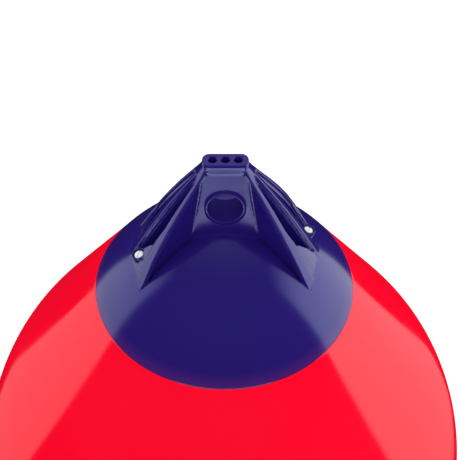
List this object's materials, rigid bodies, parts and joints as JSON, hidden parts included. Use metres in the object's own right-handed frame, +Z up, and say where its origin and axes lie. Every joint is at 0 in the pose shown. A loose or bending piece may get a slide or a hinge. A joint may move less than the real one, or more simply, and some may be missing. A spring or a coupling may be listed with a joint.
{
  "type": "ball fender",
  "caption": "Round inflatable vinyl boat fender with a cone-shaped crown and a ribbed, moulded rope hold with an eye, blind cores and air valves.",
  "frame": {"origin": "middle of the rope eye, where its bore crosses the fender's axis", "axes": "+Z up the fender's axis to the top of the rope hold, Y along the rope eye, X along the rope hold's width"},
  "size_m": [0.686, 0.686, 0.914],
  "materials": {
    "red_vinyl": "gloss",
    "blue_vinyl": "gloss",
    "valve_rubber": "satin",
    "white_nylon": "satin"
  },
  "bodies": {
    "root": {"ball_body": "red_vinyl", "rope_hold": "blue_vinyl", "valve_body_back": "valve_rubber", "valve_body_front": "valve_rubber", "valve_screw_back": "white_nylon", "valve_screw_front": "white_nylon"}
  },
  "joints": []
}
